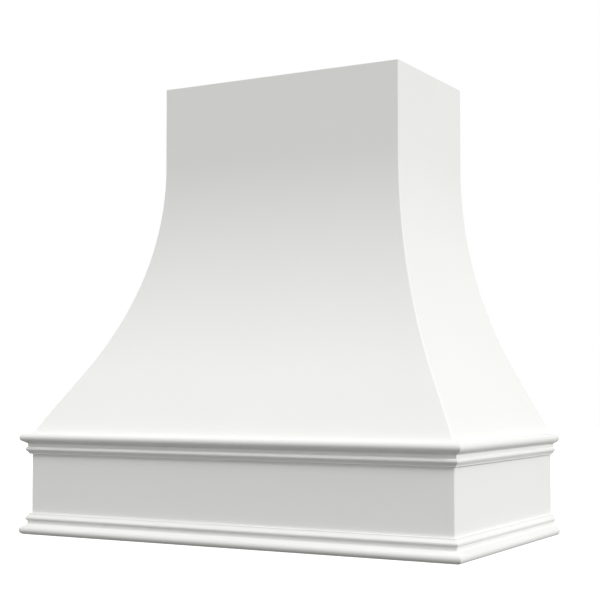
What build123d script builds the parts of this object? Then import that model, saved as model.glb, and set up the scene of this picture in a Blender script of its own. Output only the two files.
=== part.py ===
from build123d import *
import math
import os

# Wooden range hood cover, in millimetres. While it is being built the wall is the plane y = 0,
# the hood reaches out from it along -Y, and z = 0 is the hood's lower rim. At the end every piece
# moves together so that the origin lies at the middle of the hood's footprint, on the rim.

# ---- driving sizes --------------------------------------------------------------------------
STACK_WIDTH = 533.4  # plumb upper box, outside
STACK_DEPTH = 304.8  # plumb upper box, from the wall
FLARE = 190.5  # how far the skirt stands out beyond the upper box, at the front and both sides
HOOD_HEIGHT = 914.4
APRON_HEIGHT = 202.0  # flat band with its two mouldings
PLUMB_DROP = 165.1  # height of the plumb part under the top
FOOT_RISE = 118.0  # height of the straight slope above the apron

PANEL = 6.35  # bending plywood of the skins
BOARD = 19.05  # solid boards of the apron, the rails and the cleats
RIB_THICKNESS = 18.0
RIB_WIDTH = 44.45  # square to the flare
GLUE_LINE = 0.1  # between a rib's curved edge and the skin over it
EDGE_ROUND = 2.0  # sanded corner where two skins or two apron boards meet

TOP_RAIL_WIDTH = 44.45
BASE_RAIL_WIDTH = 63.5
WALL_RAIL_HEIGHT = 88.9
LINER_RECESS = 38.1  # from the rim up to the ledge that takes the liner's flange
CLEAT_HEIGHT = 38.1
BLOCK_SIZE = 31.75  # corner blocks

FRONT_RIBS = 4
SIDE_RIBS = 2
HIP_SPACE = 19.0  # free space between a hip rib and the next rib, at the top

# ---- moulding, measured from its nose edge and out from the apron's face -----------------------
NOSE_REACH = 18.5
NOSE_RADIUS = 8.7
NOSE_TURN = 62.0  # degrees of round past the tip
NECK_REACH = 6.2
NECK_COVE = 3.5
NECK_HEIGHT = 5.0
BEAD_REACH = 9.5
BEAD_RADIUS = 4.5
BEAD_TURN = 40.0  # degrees of round past the tip
FOOT_REACH = 4.4
FOOT_COVE = 3.5
FOOT_EDGE = 0.5

# ---- fasteners --------------------------------------------------------------------------------
SCREW_RADIUS = 2.1
SCREW_HEAD_RADIUS = 4.1
SCREW_HEAD_HEIGHT = 2.8
SCREW_TIP = 5.0
SCREW_POINT_RADIUS = 0.525
DRIVE_SIZE = 2.6
DRIVE_DEPTH = 2.2
SCREW_FIT = 0.05
LONG_SCREW = 50.8
BLOCK_SCREW = 44.45
CLEAT_SCREW = 31.75
BRAD_RADIUS = 0.6
BRAD_LENGTH = 17.0
BRAD_COVER = 1.0  # filler and paint over a brad's head
STUD_SPACING = 406.4
WALL_HOLE_RADIUS = 3.5
WALL_RAIL_SCREW_PITCH = 140.0
FRONT_BRADS = 5
SIDE_BRADS = 3
FRONT_CLEAT_SCREWS = 5
SIDE_CLEAT_SCREWS = 3
END_DISTANCE = 60.0  # from the end of a board to its first fastener

# ---- sizes that follow ------------------------------------------------------------------------
HOOD_WIDTH = STACK_WIDTH + 2 * FLARE
HOOD_DEPTH = STACK_DEPTH + FLARE
HALF_WIDTH = HOOD_WIDTH / 2
INNER_HALF = HALF_WIDTH - BOARD
INNER_DEPTH = HOOD_DEPTH - BOARD
HALF_STACK = STACK_WIDTH / 2
HIP_OFFSET = STACK_DEPTH - HALF_STACK  # the hips run where x = -y - HIP_OFFSET
SPAN = 2 * (HOOD_WIDTH + HOOD_DEPTH)
ARC_TOP = HOOD_HEIGHT - PLUMB_DROP
ARC_HEIGHT = ARC_TOP - APRON_HEIGHT - FOOT_RISE
RIB_INSET = PANEL + GLUE_LINE
RIB_TOP = HOOD_HEIGHT - BOARD
CLEAT_TOP = LINER_RECESS + CLEAT_HEIGHT
RING_UNDERSIDE = APRON_HEIGHT - BOARD
FOOTPRINT_DEPTH = HOOD_DEPTH + NOSE_REACH


def solve_flare_angle():
    """Slope of the straight foot, from plumb, when the arc above it starts plumb."""
    low, high = 0.0, math.pi / 2
    for _ in range(60):
        angle = (low + high) / 2
        if ARC_HEIGHT * math.tan(angle / 2) + FOOT_RISE * math.tan(angle) < FLARE:
            low = angle
        else:
            high = angle
    return low


FLARE_ANGLE = solve_flare_angle()
ARC_RADIUS = ARC_HEIGHT / math.sin(FLARE_ANGLE)


# ---- placing ----------------------------------------------------------------------------------
def front_plane(x=0.0, y=0.0):
    """Local x runs out from the wall, local y runs up, at the given distance from the wall."""
    return Plane(origin=(x, y, 0), x_dir=(0, -1, 0), z_dir=(-1, 0, 0))


def side_plane(x=0.0, y=0.0):
    """Local x runs out to the right, local y runs up."""
    return Plane(origin=(x, y, 0), x_dir=(1, 0, 0), z_dir=(0, -1, 0))


def prism(points, bottom, top):
    """Upright prism over a plan outline."""
    return extrude(Plane.XY.offset(bottom) * make_face(Polyline(*points, close=True)), top - bottom)


def block(x_range, y_range, z_range):
    """Box between two corners."""
    centre = [(low + high) / 2 for low, high in (x_range, y_range, z_range)]
    size = [high - low for low, high in (x_range, y_range, z_range)]
    return Pos(*centre) * Box(*size)


def front_wedge():
    """Everything in front of the two mitre planes."""
    points = [(0, -HIP_OFFSET), (SPAN, -HIP_OFFSET - SPAN), (-SPAN, -HIP_OFFSET - SPAN)]
    return prism(points, -SPAN, SPAN)


def right_wedge():
    """Everything to the right of the right mitre plane, up to the wall."""
    points = [(-HIP_OFFSET, 0), (SPAN - HIP_OFFSET, 0), (SPAN - HIP_OFFSET, -SPAN)]
    return prism(points, -SPAN, SPAN)


def mirrored(piece):
    return mirror(piece, about=Plane.YZ)


def spread(low, high, count):
    """Evenly spaced places from low to high."""
    return [low + (high - low) * i / (count - 1) for i in range(count)]


# ---- the flare --------------------------------------------------------------------------------
def flare_out(inset, angle):
    """A point of the flare's arc, moved in by inset, square to the surface."""
    radius = ARC_RADIUS + inset
    return (ARC_RADIUS - radius * math.cos(angle), ARC_TOP - radius * math.sin(angle))


def foot_out(inset):
    """Where the flare, moved in by inset, meets the top of the apron."""
    out, up = flare_out(inset, FLARE_ANGLE)
    return out + (up - APRON_HEIGHT) * math.tan(FLARE_ANGLE)


def flare_edges(inset, top):
    """Plumb line, arc and straight foot, from top down to the apron."""
    start, middle, end = [flare_out(inset, FLARE_ANGLE * part) for part in (0, 0.5, 1)]
    return [
        Line((-inset, top), start),
        ThreePointArc(start, middle, end),
        Line(end, (foot_out(inset), APRON_HEIGHT)),
    ]


def flare_strip(outer, inner, top):
    """Section of a curved piece between two insets, standing on the apron."""
    edges = flare_edges(outer, top) + flare_edges(inner, top)
    edges.append(Line((-outer, top), (-inner, top)))
    edges.append(Line((foot_out(outer), APRON_HEIGHT), (foot_out(inner), APRON_HEIGHT)))
    return make_face(edges)


def flare_fill(inset, top, back):
    """Section of everything between a plane at back and the flare at an inset."""
    edges = flare_edges(inset, top)
    edges.append(Polyline((foot_out(inset), APRON_HEIGHT), (back, APRON_HEIGHT), (back, top), (-inset, top)))
    return make_face(edges)


def hipped_body(inset, top):
    """Solid under the flare: the front and the two sides meet in mitred hips."""
    front = extrude(front_plane(y=-STACK_DEPTH) * flare_fill(inset, top, -STACK_DEPTH), SPAN, both=True)
    right = extrude(side_plane(HALF_STACK) * flare_fill(inset, top, -HALF_STACK), SPAN, both=True)
    return front & (right + mirrored(right))


def on_hip(edge):
    """True for an edge of a right or left hip."""
    middle = edge @ 0.5
    upright = abs((edge @ 0).Z - (edge @ 1).Z) > 1
    return upright and abs(abs(middle.X) + middle.Y + HIP_OFFSET) < 0.01


# ---- painted pieces ---------------------------------------------------------------------------
def make_panels(brads):
    """Curved skins of the front and both sides, mitred on the hips."""
    body = hipped_body(0, HOOD_HEIGHT)
    body = fillet(body.edges().filter_by(on_hip), EDGE_ROUND)
    shell = body - hipped_body(PANEL, HOOD_HEIGHT) - brads
    right = shell & right_wedge()
    left = shell & mirrored(right_wedge())
    return {"front_panel": shell & front_wedge(), "right_panel": right, "left_panel": left}


def make_apron(holes):
    """Flat band of three mitred boards under the skins."""
    outer = block((-HALF_WIDTH, HALF_WIDTH), (-HOOD_DEPTH, 0), (0, APRON_HEIGHT))
    outer = fillet(outer.edges().filter_by(Axis.Z).sort_by(Axis.Y)[:2], EDGE_ROUND)
    inner = block((-INNER_HALF, INNER_HALF), (-INNER_DEPTH, SPAN), (-SPAN, SPAN))
    ring = outer - inner - holes
    return {
        "apron_front": ring & front_wedge(),
        "apron_right": ring & right_wedge(),
        "apron_left": ring & mirrored(right_wedge()),
    }


def hollow_in(start, turn, radius, reach):
    """Slope from the end of a round and the cove after it, which ends plumb at a reach."""
    slope_end = reach + radius * (1 - math.cos(turn))
    slope_drop = start[1] + (start[0] - slope_end) / math.tan(turn)
    cove_drop = slope_drop + radius * math.sin(turn)
    half_turn = turn / 2
    cove_middle = (reach + radius * (1 - math.cos(half_turn)), cove_drop - radius * math.sin(half_turn))
    return (slope_end, slope_drop), cove_middle, (reach, cove_drop)


def moulding_section(edge, down):
    """Section of the moulding, from its nose edge, with the middle of its neck and its height."""
    nose_turn = math.radians(NOSE_TURN)
    nose_in = NOSE_REACH - NOSE_RADIUS
    nose_end = (nose_in + NOSE_RADIUS * math.cos(nose_turn), NOSE_RADIUS * (1 + math.sin(nose_turn)))
    slope_end, cove_middle, neck_top = hollow_in(nose_end, nose_turn, NECK_COVE, NECK_REACH)
    neck_end = (NECK_REACH, neck_top[1] + NECK_HEIGHT)
    bead_turn = math.radians(BEAD_TURN)
    bead_in = BEAD_REACH - BEAD_RADIUS
    bead_drop = neck_end[1] + math.sqrt(BEAD_RADIUS**2 - (NECK_REACH - bead_in) ** 2)
    bead_end = (bead_in + BEAD_RADIUS * math.cos(bead_turn), bead_drop + BEAD_RADIUS * math.sin(bead_turn))
    foot_slope, foot_middle, foot_start = hollow_in(bead_end, bead_turn, FOOT_COVE, FOOT_REACH)
    height = foot_start[1] + FOOT_EDGE

    def line(*points):
        return Polyline(*[(reach, edge - down * drop) for reach, drop in points])

    def arc(*points):
        return ThreePointArc(*[(reach, edge - down * drop) for reach, drop in points])

    edges = [
        line((0, 0), (nose_in, 0)),
        arc((nose_in, 0), (NOSE_REACH, NOSE_RADIUS), nose_end),
        line(nose_end, slope_end),
        arc(slope_end, cove_middle, neck_top),
        line(neck_top, neck_end),
        arc(neck_end, (BEAD_REACH, bead_drop), bead_end),
        line(bead_end, foot_slope),
        arc(foot_slope, foot_middle, foot_start),
        line(foot_start, (FOOT_REACH, height), (0, height), (0, 0)),
    ]
    return make_face(edges), (neck_top[1] + neck_end[1]) / 2, height


def make_mouldings(brads):
    """The same moulding round the top of the apron and, upside down, round its rim."""
    pieces = {}
    for name, edge, down in (("upper", APRON_HEIGHT, 1), ("lower", 0, -1)):
        section = moulding_section(edge, down)[0]
        front = extrude(front_plane(y=-HOOD_DEPTH) * section, SPAN, both=True)
        right = extrude(side_plane(HALF_WIDTH) * section, SPAN, both=True) & right_wedge()
        pieces[f"{name}_moulding_front"] = (front & front_wedge()) - brads
        pieces[f"{name}_moulding_right"] = right - brads
        pieces[f"{name}_moulding_left"] = mirrored(right) - brads
    return pieces


# ---- frame ------------------------------------------------------------------------------------
def rail_ring(name, half_width, depth, rail_width, z_range, cuts):
    """Flat frame against the wall: front and back rails run through, side rails between them."""
    inner = half_width - rail_width
    front = block((-half_width, half_width), (-depth, -depth + rail_width), z_range)
    back = block((-half_width, half_width), (-rail_width, 0), z_range)
    right = block((inner, half_width), (-depth + rail_width, -rail_width), z_range)
    return {
        f"{name}_front": front - cuts,
        f"{name}_back": back - cuts,
        f"{name}_right": right - cuts,
        f"{name}_left": mirrored(right) - cuts,
    }


def front_rib_places():
    """Rib middles along the front, clear of the hip ribs."""
    reach = HALF_STACK - RIB_INSET - RIB_WIDTH - RIB_THICKNESS - HIP_SPACE
    return spread(-reach, reach, FRONT_RIBS)


def side_rib_places():
    """Rib middles along a side, from next to the wall to clear of the hip rib."""
    reach = STACK_DEPTH - RIB_INSET - RIB_WIDTH - RIB_THICKNESS - HIP_SPACE
    return [-reach * (i + 1) / SIDE_RIBS for i in range(SIDE_RIBS)]


def make_ribs(cuts):
    """Curved ribs that carry the skins, standing on the apron and the base rails."""
    section = flare_strip(RIB_INSET, RIB_INSET + RIB_WIDTH, RIB_TOP)
    pieces = {}
    for i, x in enumerate(front_rib_places()):
        rib = extrude(front_plane(x, -STACK_DEPTH) * section, RIB_THICKNESS / 2, both=True)
        pieces[f"front_rib_{i + 1}"] = rib - cuts
    for i, y in enumerate(side_rib_places()):
        rib = extrude(side_plane(HALF_STACK, y) * section, RIB_THICKNESS / 2, both=True)
        pieces[f"right_rib_{i + 1}"] = rib - cuts
        pieces[f"left_rib_{i + 1}"] = mirrored(rib) - cuts
    hip = hip_rib()
    pieces["right_hip_rib"] = hip - cuts
    pieces["left_hip_rib"] = mirrored(hip) - cuts
    wall_top = RIB_TOP - WALL_RAIL_HEIGHT
    wall_section = flare_strip(RIB_INSET, RIB_INSET + RIB_WIDTH, wall_top)
    wall_rib = extrude(side_plane(HALF_STACK, -BOARD / 2) * wall_section, BOARD / 2, both=True)
    pieces["right_wall_rib"] = wall_rib - cuts
    pieces["left_wall_rib"] = mirrored(wall_rib) - cuts
    return pieces


def hip_rib():
    """Rib in the right mitre plane, with its outer edge backed off to both skins."""
    middle = (HALF_STACK + FLARE / 2, -STACK_DEPTH - FLARE / 2)
    slab = Box(SPAN, RIB_THICKNESS, SPAN)
    slab = Pos(*middle, 0) * Rot(0, 0, -45) * slab
    near = block((0, SPAN), (-SPAN, -HIP_OFFSET), (-SPAN, SPAN))
    band = hipped_body(RIB_INSET, RIB_TOP) - hipped_body(RIB_INSET + RIB_WIDTH, RIB_TOP)
    return band & (slab & near)


def make_wall_rails(cuts):
    """Boards that the hood hangs on, screwed to the wall studs."""
    half_top = HALF_STACK - PANEL
    upper = block((-half_top, half_top), (-BOARD, 0), (RIB_TOP - WALL_RAIL_HEIGHT, RIB_TOP))
    lower_range = (LINER_RECESS, LINER_RECESS + WALL_RAIL_HEIGHT)
    lower = block((-INNER_HALF, INNER_HALF), (-BOARD, 0), lower_range)
    return {"upper_wall_rail": upper - cuts, "lower_wall_rail": lower - cuts}


def wall_holes():
    """Clearance holes for lag screws, two in each wall rail."""
    hole = Rot(90, 0, 0) * Cylinder(WALL_HOLE_RADIUS, 4 * BOARD)
    heights = (RIB_TOP - WALL_RAIL_HEIGHT / 2, LINER_RECESS + WALL_RAIL_HEIGHT / 2)
    sides = (-STUD_SPACING / 2, STUD_SPACING / 2)
    return [Pos(x, 0, z) * hole for x in sides for z in heights]


def make_liner_cleats(cuts):
    """Ledges round the inside of the apron that take the liner's flange."""
    z_range = (LINER_RECESS, CLEAT_TOP)
    front = block((-INNER_HALF, INNER_HALF), (-INNER_DEPTH, -INNER_DEPTH + BOARD), z_range)
    right = block((INNER_HALF - BOARD, INNER_HALF), (-INNER_DEPTH + BOARD, -BOARD), z_range)
    return {
        "liner_cleat_front": front - cuts,
        "liner_cleat_right": right - cuts,
        "liner_cleat_left": mirrored(right) - cuts,
    }


def make_corner_blocks(cuts):
    """Square blocks in the four corners, between the cleats and the base rails."""
    x_range = (INNER_HALF - BLOCK_SIZE, INNER_HALF)
    z_range = (CLEAT_TOP, RING_UNDERSIDE)
    front = block(x_range, (-INNER_DEPTH, -INNER_DEPTH + BLOCK_SIZE), z_range)
    back = block(x_range, (-BOARD - BLOCK_SIZE, -BOARD), z_range)
    return {
        "corner_block_front_right": front - cuts,
        "corner_block_front_left": mirrored(front) - cuts,
        "corner_block_back_right": back - cuts,
        "corner_block_back_left": mirrored(back) - cuts,
    }


# ---- fasteners --------------------------------------------------------------------------------
def wood_screw(length, fit=0.0):
    """Countersunk screw along +Z from its head; with a fit it is the hole for one."""
    shank = length - SCREW_HEAD_HEIGHT - SCREW_TIP
    radius = SCREW_RADIUS + fit
    head = Cone(SCREW_HEAD_RADIUS + fit, radius, SCREW_HEAD_HEIGHT, align=(Align.CENTER, Align.CENTER, Align.MIN))
    body = Pos(0, 0, SCREW_HEAD_HEIGHT) * Cylinder(radius, shank, align=(Align.CENTER, Align.CENTER, Align.MIN))
    tip = Pos(0, 0, SCREW_HEAD_HEIGHT + shank) * Cone(
        radius, SCREW_POINT_RADIUS + fit, SCREW_TIP + fit, align=(Align.CENTER, Align.CENTER, Align.MIN)
    )
    screw = head + body + tip
    if fit:
        return screw
    return screw - Box(DRIVE_SIZE, DRIVE_SIZE, 2 * DRIVE_DEPTH)


def brad(fit=0.0):
    """Headless nail along +Z; with a fit it is the hole for one."""
    return Cylinder(BRAD_RADIUS + fit, BRAD_LENGTH + 2 * fit, align=(Align.CENTER, Align.CENTER, Align.MIN))


UP = Rot(0, 0, 0)
DOWN = Rot(180, 0, 0)
TO_RIGHT = Rot(0, 90, 0)
TO_LEFT = Rot(0, -90, 0)
TO_FRONT = Rot(90, 0, 0)
TO_WALL = Rot(-90, 0, 0)


def both_sides(places):
    """Places on the right, and the same on the left."""
    turned = {TO_RIGHT: TO_LEFT, TO_LEFT: TO_RIGHT}
    left = [((-x, y, z), turned.get(turn, turn)) for (x, y, z), turn in places]
    return places + left


def rib_foot_places():
    """From below, through a base rail, into the foot of each rib."""
    foot_end = HOOD_DEPTH - FLARE + foot_out(RIB_INSET + RIB_WIDTH)
    out = (INNER_DEPTH + foot_end) / 2
    side = out - HIP_OFFSET
    places = [((x, -out, RING_UNDERSIDE), UP) for x in front_rib_places()]
    right = [((side, y, RING_UNDERSIDE), UP) for y in side_rib_places()]
    right += [((side, -out, RING_UNDERSIDE), UP), ((side, -BOARD / 2, RING_UNDERSIDE), UP)]
    return places + both_sides(right)


def rib_top_places():
    """From above, through a top rail, into the head of each rib and the upper wall rail."""
    out = STACK_DEPTH - RIB_INSET - RIB_WIDTH / 2
    side = out - HIP_OFFSET
    places = [((x, -out, HOOD_HEIGHT), DOWN) for x in front_rib_places()]
    places += [((i * WALL_RAIL_SCREW_PITCH, -BOARD / 2, HOOD_HEIGHT), DOWN) for i in (-1, 0, 1)]
    right = [((side, y, HOOD_HEIGHT), DOWN) for y in side_rib_places()]
    right += [((side, -out, HOOD_HEIGHT), DOWN)]
    return places + both_sides(right)


def cleat_places():
    """Through each liner cleat into the apron."""
    height = LINER_RECESS + CLEAT_HEIGHT / 2
    reach = INNER_HALF - END_DISTANCE
    fronts = spread(-reach, reach, FRONT_CLEAT_SCREWS)
    places = [((x, -INNER_DEPTH + BOARD, height), TO_FRONT) for x in fronts]
    ends = (-INNER_DEPTH + BOARD + END_DISTANCE, -BOARD - END_DISTANCE)
    right = [((INNER_HALF - BOARD, y, height), TO_RIGHT) for y in spread(*ends, SIDE_CLEAT_SCREWS)]
    return places + both_sides(right)


def block_places():
    """Through each corner block, two ways, at staggered heights."""
    step = (WALL_RAIL_HEIGHT - CLEAT_HEIGHT) / 4  # the lower wall rail comes up four of these
    side_heights = [CLEAT_TOP + step * i for i in (2, 6)]
    square_heights = [CLEAT_TOP + step * i for i in (1, 3)]
    x = INNER_HALF - BLOCK_SIZE / 2
    right = []
    for y in (-INNER_DEPTH + BLOCK_SIZE / 2, -BOARD - BLOCK_SIZE / 2):
        right += [((INNER_HALF - BLOCK_SIZE, y, z), TO_RIGHT) for z in side_heights]
    right += [((x, -INNER_DEPTH + BLOCK_SIZE, z), TO_FRONT) for z in square_heights]
    right += [((x, -BOARD - BLOCK_SIZE, z), TO_WALL) for z in square_heights]
    return both_sides(right)


def moulding_brad_places():
    """Through the neck of each moulding into the apron."""
    reach = HALF_WIDTH - END_DISTANCE
    out = NECK_REACH - BRAD_COVER
    places = []
    for edge, down in ((APRON_HEIGHT, 1), (0, -1)):
        z = edge - down * moulding_section(edge, down)[1]
        fronts = spread(-reach, reach, FRONT_BRADS)
        places += [((x, -HOOD_DEPTH - out, z), TO_WALL) for x in fronts]
        sides = spread(-HOOD_DEPTH + END_DISTANCE, -END_DISTANCE, SIDE_BRADS)
        places += both_sides([((HALF_WIDTH + out, y, z), TO_LEFT) for y in sides])
    return places


def panel_brad_places():
    """Through the top of each skin into the edge of a top rail."""
    z = HOOD_HEIGHT - BOARD / 2
    reach = HALF_STACK - END_DISTANCE
    fronts = spread(-reach, reach, FRONT_BRADS)
    places = [((x, -STACK_DEPTH + BRAD_COVER, z), TO_WALL) for x in fronts]
    sides = spread(-STACK_DEPTH + END_DISTANCE, -END_DISTANCE, SIDE_BRADS)
    return places + both_sides([((HALF_STACK - BRAD_COVER, y, z), TO_LEFT) for y in sides])


def put(places, piece):
    """Copies of a fastener at its places."""
    return [Pos(*place) * turn * piece for place, turn in places]


def main():
    screws = {
        "rib_foot_screws": (rib_foot_places(), LONG_SCREW),
        "rib_top_screws": (rib_top_places(), LONG_SCREW),
        "cleat_screws": (cleat_places(), CLEAT_SCREW),
        "block_screws": (block_places(), BLOCK_SCREW),
    }
    holes = {name: put(places, wood_screw(length, SCREW_FIT)) for name, (places, length) in screws.items()}
    rib_cuts = holes["rib_foot_screws"] + holes["rib_top_screws"]
    moulding_brads = put(moulding_brad_places(), brad(SCREW_FIT))
    panel_brads = put(panel_brad_places(), brad(SCREW_FIT))

    pieces = {}
    pieces.update(make_panels(panel_brads))
    pieces.update(make_apron(moulding_brads + holes["cleat_screws"] + holes["block_screws"]))
    pieces.update(make_mouldings(moulding_brads))
    top_range = (RIB_TOP, HOOD_HEIGHT)
    top_depth = STACK_DEPTH - PANEL
    top_cuts = holes["rib_top_screws"] + panel_brads
    pieces.update(rail_ring("top_rail", HALF_STACK - PANEL, top_depth, TOP_RAIL_WIDTH, top_range, top_cuts))
    base_range = (RING_UNDERSIDE, APRON_HEIGHT)
    foot_cuts = holes["rib_foot_screws"]
    pieces.update(rail_ring("base_rail", INNER_HALF, INNER_DEPTH, BASE_RAIL_WIDTH, base_range, foot_cuts))
    pieces.update(make_ribs(rib_cuts))
    pieces.update(make_wall_rails(wall_holes() + holes["rib_top_screws"] + holes["block_screws"]))
    pieces.update(make_liner_cleats(holes["cleat_screws"]))
    pieces.update(make_corner_blocks(holes["block_screws"]))
    for name, (places, length) in screws.items():
        pieces[name] = Compound(children=put(places, wood_screw(length)))
    pieces["moulding_brads"] = Compound(children=put(moulding_brad_places(), brad()))
    pieces["panel_brads"] = Compound(children=put(panel_brad_places(), brad()))

    os.makedirs("parts", exist_ok=True)
    to_origin = Pos(0, FOOTPRINT_DEPTH / 2, 0)
    for name, piece in pieces.items():
        export_step(to_origin * piece, f"parts/{name}.step")
    print("flare angle", math.degrees(FLARE_ANGLE), "radius", ARC_RADIUS, "pieces", len(pieces))
    print("moulding height", moulding_section(0, -1)[2])


main()
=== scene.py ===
# %% [markdown]
# # A painted wooden range hood cover
# This lesson dresses a wooden cover that hangs on a kitchen wall above the cooking place and hides
# a blower and its duct. Its solid model is packed already and is loaded first, as a fixed frame.
# z = 0 is the lower rim, and the wall is at the back, towards +Y. Every piece keeps to that frame.

import math

import bmesh
import bpy
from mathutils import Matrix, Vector


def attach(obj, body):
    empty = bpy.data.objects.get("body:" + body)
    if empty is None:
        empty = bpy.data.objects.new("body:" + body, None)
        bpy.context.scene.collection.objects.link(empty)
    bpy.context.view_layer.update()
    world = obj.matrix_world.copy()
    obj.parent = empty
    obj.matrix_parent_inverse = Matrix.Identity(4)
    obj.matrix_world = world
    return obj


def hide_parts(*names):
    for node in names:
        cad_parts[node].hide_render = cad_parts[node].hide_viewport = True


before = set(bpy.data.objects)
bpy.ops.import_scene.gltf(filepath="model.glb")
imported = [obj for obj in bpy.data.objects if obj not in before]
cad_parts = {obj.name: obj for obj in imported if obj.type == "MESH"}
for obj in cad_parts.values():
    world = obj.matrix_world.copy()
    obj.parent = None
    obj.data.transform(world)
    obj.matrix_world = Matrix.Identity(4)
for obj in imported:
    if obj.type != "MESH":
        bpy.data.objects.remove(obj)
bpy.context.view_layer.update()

# %% [markdown]
# ## Two helpers
# Shapes and finishes are both trees of nodes here, and one function writes them all. It adds a
# node, sets its options and fills its sockets, each with a plain value or with a link from an
# earlier node. Colours are written as sRGB hex codes, as on a paint chip. Shaders work in linear
# light, so the second function turns a code into linear values.

# %% Add a node and read a paint chip
MM = 0.001
MATH = "ShaderNodeMath"
VECTOR_MATH = "ShaderNodeVectorMath"


def add(tree, kind, feed=(), **settings):
    """Adds a node. Settings are its options; feed fills its sockets, in order or by name."""
    node = tree.nodes.new(kind)
    for name, value in settings.items():
        setattr(node, name, value)
    sockets = feed.items() if isinstance(feed, dict) else enumerate(feed)
    for key, value in sockets:
        if isinstance(value, bpy.types.Node):
            value = next(output for output in value.outputs if output.enabled)
        if isinstance(value, bpy.types.NodeSocket):
            tree.links.new(value, node.inputs[key])
        else:
            node.inputs[key].default_value = value
    return node


def paint_chip(hex_code):
    """Linear colour of an sRGB hex code."""
    channels = [int(hex_code[i : i + 2], 16) / 255 for i in (1, 3, 5)]
    linear = [c / 12.92 if c <= 0.04045 else ((c + 0.055) / 1.055) ** 2.4 for c in channels]
    return (*linear, 1.0)


print("mid grey #808080 is", round(paint_chip("#808080")[0], 3), "in linear light")

# %% [markdown]
# ## The camera
# The photograph looks at the hood from its right, a little above the rim, with a long lens. The
# place, turn and lens were worked out from the hood's straight edges, whose real sizes are known.
# The lens is shifted up a little, as on a view camera, so that plumb edges stay nearly upright in
# the picture although the camera stands low and looks slightly up.

# %% Set up the camera
FOCAL_LENGTH, SENSOR_WIDTH = 79.08, 36  # mm
LENS_SHIFT = 0.06  # upwards, as a share of the picture
CAMERA_PLACE = (1.3156, -2.2935, 0.2934)  # metres
LOOK_UP, LOOK_LEFT = 2.241, 29.332  # degrees

scene = bpy.context.scene
lens = bpy.data.cameras.new("view_camera")
lens.lens = FOCAL_LENGTH
lens.sensor_width = SENSOR_WIDTH
lens.shift_y = LENS_SHIFT
camera = bpy.data.objects.new("view_camera", lens)
camera.location = CAMERA_PLACE
camera.rotation_euler = (math.radians(90 + LOOK_UP), 0, math.radians(LOOK_LEFT))
scene.collection.objects.link(camera)
scene.camera = camera
print("camera stands", round(camera.location.length, 2), "m away, lens", lens.lens, "mm")

# %% [markdown]
# ## The lamps
# The photograph was taken in an even studio: the front is a soft grey that brightens where the
# skirt turns up to the light, the right side is brighter, and the hollows of the mouldings stay
# dark. An area lamp near the hood would light one end more than the other. A sun lamp with a wide
# angle acts like a large soft box far away, so each lamp here is one of those, named by where it
# stands. Together they keep the brightest paint just below white. The Standard view shows a colour
# as it is written, where the default view would grey the whites.

# %% Hang the lamps
scene.view_settings.view_transform = "Standard"
LAMP_WIDTH = math.radians(30)  # how wide a soft box looks from the hood


def soft_lamp(name, azimuth, elevation, strength):
    """A far soft box. Azimuth 0 is in front of the hood, 90 at its right; both in degrees."""
    turn, rise = math.radians(azimuth), math.radians(elevation)
    flat = math.cos(rise)
    way = Vector((flat * math.sin(turn), -flat * math.cos(turn), math.sin(rise)))
    box = bpy.data.lights.new(name, "SUN")
    box.angle = LAMP_WIDTH
    box.energy = strength
    stand = bpy.data.objects.new(name, box)
    stand.rotation_euler = way.to_track_quat("Z", "Y").to_euler()
    scene.collection.objects.link(stand)
    print(name, "at", azimuth, "and", elevation, "degrees, strength", strength)


soft_lamp("key_lamp", 45, 55, 0.80)
soft_lamp("side_lamp", 90, 25, 2.64)
soft_lamp("left_lamp", -40, 50, 1.13)
soft_lamp("low_lamp", -30, 15, 0.92)

# %% [markdown]
# So far the left gets little light, and the back and the inside next to none. The photograph shows
# none of them. Two lamps behind the hood and to its left fill them, level with it. They stand
# wholly behind the planes of the front and the right side, so the photograph's shades stay.

# %% Hang the lamps behind
soft_lamp("back_lamp", -160, 0, 2.2)
soft_lamp("back_left_lamp", -130, 0, 1.3)

# %% [markdown]
# ## The white room
# The background is white to the eye, but it must not light the hood, or every shade would drown.
# The Light Path node tells the two apart. A ray from the camera, off gloss or through glass sees
# white. Any other ray meets a faint dome that is brighter overhead.

# %% Tell what sees the room directly
def seen_directly(tree):
    """1 for a ray from the camera, off gloss or through glass, and 0 for any other ray."""
    ray = add(tree, "ShaderNodeLightPath")
    eye_or_gloss = [ray.outputs["Is Camera Ray"], ray.outputs["Is Glossy Ray"]]
    seen = add(tree, MATH, eye_or_gloss, operation="MAXIMUM")
    return add(tree, MATH, [seen, ray.outputs["Is Transmission Ray"]], operation="MAXIMUM")


# %% Paint the room
DOME_LIGHT = 0.02
DOME_START, DOME_FULL = -0.6, 0.8  # from the ground below at -1 to the zenith at 1

room = bpy.data.worlds.new("white_room")
room.use_nodes = True
scene.world = room
sky = room.node_tree
sky.nodes.clear()
way_up = add(sky, "ShaderNodeTexCoord").outputs["Generated"]
height = add(sky, "ShaderNodeSeparateXYZ", [way_up]).outputs["Z"]
overhead = {"Value": height, "From Min": DOME_START, "From Max": DOME_FULL}
overhead = add(sky, "ShaderNodeMapRange", overhead)
ends = {"A": (0, 0, 0, 1), "B": (DOME_LIGHT, DOME_LIGHT, DOME_LIGHT, 1)}
dome = add(sky, "ShaderNodeMix", {"Factor": overhead, **ends}, data_type="RGBA")
dim = add(sky, "ShaderNodeBackground", {"Color": dome})
white = add(sky, "ShaderNodeBackground", {"Color": (1, 1, 1, 1)})
either = add(sky, "ShaderNodeMixShader", [seen_directly(sky), dim, white])
add(sky, "ShaderNodeOutputWorld", {"Surface": either})
print("room: white to the eye, dome light", DOME_LIGHT)

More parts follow.
